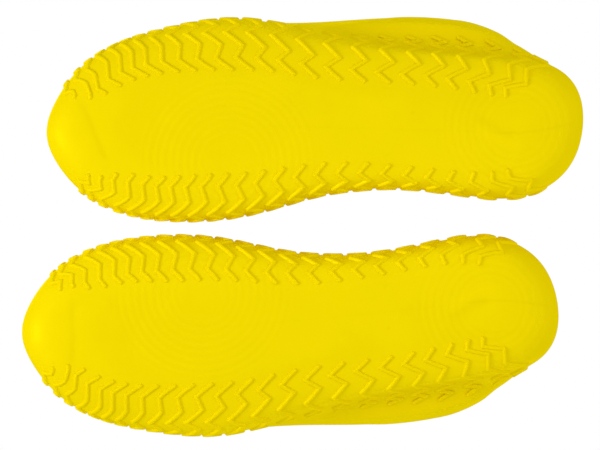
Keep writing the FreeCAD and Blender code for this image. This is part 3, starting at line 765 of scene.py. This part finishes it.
def silicone(name, colour, grain_size):
    """Matt moulded silicone: slightly uneven colour, a fine grain and a soft sheen."""
    material = bpy.data.materials.new(name)
    material.use_nodes = True
    links = material.node_tree.links
    body = material.node_tree.nodes["Principled BSDF"]
    body.inputs["Specular IOR Level"].default_value = 0.0
    body.inputs["Roughness"].default_value = 0.6
    place = add_node(material, "ShaderNodeTexCoord")

    # Slow clouds of pigment make the colour lighter or darker.
    clouds = add_node(material, "ShaderNodeTexNoise",
                      {"Scale": 38.0, "Detail": 3.0, "Roughness": 0.5})
    links.new(place.outputs["Object"], clouds.inputs["Vector"])
    cloud_tone = add_node(material, "ShaderNodeMapRange",
                          {"From Min": 0.3, "From Max": 0.7, "To Min": 0.985, "To Max": 1.015})
    links.new(clouds.outputs["Fac"], cloud_tone.inputs["Value"])
    # The tone attribute paints the shade and highlights of the sole's marks into the colour.
    marks = add_node(material, "ShaderNodeAttribute", attribute_name=PAINTED_SHADING_TONE)
    tone_with_painted_shading = add_node(material, "ShaderNodeMath", operation="ADD")
    links.new(cloud_tone.outputs["Result"], tone_with_painted_shading.inputs[0])
    links.new(marks.outputs["Fac"], tone_with_painted_shading.inputs[1])
    pigment = add_node(material, "ShaderNodeVectorMath", {0: colour}, operation="SCALE")
    links.new(tone_with_painted_shading.outputs[0], pigment.inputs["Scale"])
    links.new(pigment.outputs[0], body.inputs["Base Color"])

    # A fine grain, finer than a millimetre, and soft dents wider apart.
    grain = add_node(material, "ShaderNodeTexNoise",
                     {"Scale": 1 / grain_size, "Detail": 2.0, "Roughness": 0.6})
    dents = add_node(material, "ShaderNodeTexNoise", {"Scale": 160.0, "Detail": 1.0})
    links.new(place.outputs["Object"], grain.inputs["Vector"])
    links.new(place.outputs["Object"], dents.inputs["Vector"])
    soft_bump = add_node(material, "ShaderNodeBump", {"Strength": 0.25, "Distance": 0.0006})
    fine_bump = add_node(material, "ShaderNodeBump", {"Strength": 0.2, "Distance": 0.0001})
    links.new(dents.outputs["Fac"], soft_bump.inputs["Height"])
    links.new(grain.outputs["Fac"], fine_bump.inputs["Height"])
    links.new(soft_bump.outputs[0], fine_bump.inputs["Normal"])
    links.new(fine_bump.outputs[0], body.inputs["Normal"])

    # The sheen keeps the colour of the pigment, so pale light doesn't bleach the edges.
    sheen = add_node(material, "ShaderNodeBsdfAnisotropic", {"Color": SHEEN_YELLOW})
    gloss = add_node(material, "ShaderNodeMapRange",
                     {"From Min": 0.3, "From Max": 0.7, "To Min": 0.36, "To Max": 0.46})
    links.new(dents.outputs["Fac"], gloss.inputs["Value"])
    links.new(gloss.outputs["Result"], sheen.inputs["Roughness"])
    links.new(fine_bump.outputs[0], sheen.inputs["Normal"])
    mix = add_node(material, "ShaderNodeMixShader", {"Fac": 0.05})
    links.new(body.outputs[0], mix.inputs[1])
    links.new(sheen.outputs[0], mix.inputs[2])
    output = material.node_tree.nodes["Material Output"]
    links.new(mix.outputs[0], output.inputs["Surface"])
    return material


# --- Floor, world and lamps ---------------------------------------------------------------
WHITE = (1, 1, 1, 1)
PAPER = (0.81, 0.81, 0.8, 1)


def make_floor(height):
    """A pale floor that only the camera sees, and only from above. It is white far away."""
    bpy.ops.mesh.primitive_circle_add(vertices=96, radius=9, fill_type="NGON",
                                      location=(0, 0, height))
    floor = bpy.context.object
    floor.name = "floor"
    material = bpy.data.materials.new("floor")
    material.use_nodes = True
    links = material.node_tree.links
    material.node_tree.nodes.clear()
    output = add_node(material, "ShaderNodeOutputMaterial")
    paper = add_node(material, "ShaderNodeBsdfDiffuse", {"Color": PAPER})
    white = add_node(material, "ShaderNodeEmission")
    clear = add_node(material, "ShaderNodeBsdfTransparent")
    facing = add_node(material, "ShaderNodeNewGeometry")
    distance = add_node(material, "ShaderNodeVectorMath", operation="LENGTH")
    links.new(facing.outputs["Position"], distance.inputs[0])
    far = add_node(material, "ShaderNodeMapRange", {"From Min": 0.25, "From Max": 0.9},
                   interpolation_type="SMOOTHSTEP")
    links.new(distance.outputs["Value"], far.inputs["Value"])
    pale = add_node(material, "ShaderNodeMixShader")
    links.new(far.outputs["Result"], pale.inputs["Fac"])
    links.new(paper.outputs[0], pale.inputs[1])
    links.new(white.outputs[0], pale.inputs[2])
    mix = add_node(material, "ShaderNodeMixShader")
    links.new(facing.outputs["Backfacing"], mix.inputs["Fac"])
    links.new(pale.outputs[0], mix.inputs[1])
    links.new(clear.outputs[0], mix.inputs[2])
    links.new(mix.outputs[0], output.inputs["Surface"])
    floor.visible_diffuse = floor.visible_glossy = False
    floor.visible_transmission = floor.visible_shadow = False
    floor.data.materials.append(material)


def make_world():
    """White where the camera looks at it. Its light is weaker from the lateral sides."""
    world = bpy.data.worlds.new("world")
    bpy.context.scene.world = world
    world.use_nodes = True
    links = world.node_tree.links
    world.node_tree.nodes.clear()
    output = add_node(world, "ShaderNodeOutputWorld")
    direction = add_node(world, "ShaderNodeTexCoord")
    parts = add_node(world, "ShaderNodeSeparateXYZ")
    links.new(direction.outputs["Generated"], parts.inputs[0])
    sideways = add_node(world, "ShaderNodeMath", operation="ABSOLUTE")
    links.new(parts.outputs["X"], sideways.inputs[0])
    strength = add_node(world, "ShaderNodeMapRange",
                        {"From Min": 0.3, "From Max": 0.9, "To Min": 0.785, "To Max": 0.68},
                        interpolation_type="SMOOTHSTEP")
    links.new(sideways.outputs[0], strength.inputs["Value"])
    room = add_node(world, "ShaderNodeBackground", {"Color": WHITE})
    links.new(strength.outputs["Result"], room.inputs["Strength"])
    white = add_node(world, "ShaderNodeBackground", {"Color": WHITE})
    path = add_node(world, "ShaderNodeLightPath")
    mirrored = add_node(world, "ShaderNodeMath", operation="MAXIMUM")
    seen = add_node(world, "ShaderNodeMath", operation="MAXIMUM")
    links.new(path.outputs["Is Glossy Ray"], mirrored.inputs[0])
    links.new(path.outputs["Is Transmission Ray"], mirrored.inputs[1])
    links.new(path.outputs["Is Camera Ray"], seen.inputs[0])
    links.new(mirrored.outputs[0], seen.inputs[1])
    mix = add_node(world, "ShaderNodeMixShader")
    links.new(seen.outputs[0], mix.inputs["Fac"])
    links.new(room.outputs[0], mix.inputs[1])
    links.new(white.outputs[0], mix.inputs[2])
    links.new(mix.outputs[0], output.inputs["Surface"])


def soft_lamp(name, place, target, width, height, power):
    """A rectangular lamp that the camera doesn't see."""
    data = bpy.data.lights.new(name, "AREA")
    data.shape = "RECTANGLE"
    data.size = width
    data.size_y = height
    data.energy = power
    lamp = bpy.data.objects.new(name, data)
    lamp.location = place
    lamp.rotation_euler = (Vector(target) - Vector(place)).to_track_quat("-Z", "Y").to_euler()
    lamp.visible_camera = False
    bpy.context.scene.collection.objects.link(lamp)


def make_lamps():
    """Soft light from below on the toes, the heels and the gap between them, and from above."""
    middle = (0, 0, 0.03)
    soft_lamp("toe_lamp", (0, -1.4, -0.9), middle, 0.7, 0.5, 9.5)
    soft_lamp("middle_lamp", (0, 0.03, -0.12), (0, 0.03, 0), 0.03, 0.64, 0.03)
    soft_lamp("heel_lamp", (0, 1.4, -0.9), middle, 0.7, 0.5, 1.9)
    soft_lamp("above_lamp", (0.7, -0.6, 1.7), middle, 1.2, 1.2, 12)
    soft_lamp("side_lamp", (-1.4, 0.4, 1.2), middle, 1.0, 1.0, 5)


# --- Put together -------------------------------------------------------------------------
FLOOR_GAP = 0.0002


def bend_with_toes(piece):
    """Bakes a piece's placement into its mesh points, without bending it."""
    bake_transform(piece)


make_camera()
UPPER = silicone("silicone_upper", YELLOW, grain_size=0.0006)
TREAD = silicone("silicone_tread", YELLOW, grain_size=0.0005)
for side in SIDES:
    wall = cover_wall(side, UPPER)
    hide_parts(*["%s_%s" % (side, zone) for zone in ZONES])
    bend_with_toes(wall)
    for edge in ("lateral", "medial"):
        ribs = rib_group(side, edge, TREAD)
        names = ["%s_%s_%s_ribs" % (side, edge, zone) for zone in ("toe", "rear")]
        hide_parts(*names)
        if edge == "lateral":
            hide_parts(side + "_flex_ribs")
        bend_with_toes(ribs)

LOW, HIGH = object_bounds()
make_floor(LOW.z - FLOOR_GAP)
make_world()
make_lamps()

bpy.context.scene.view_settings.view_transform = "Standard"
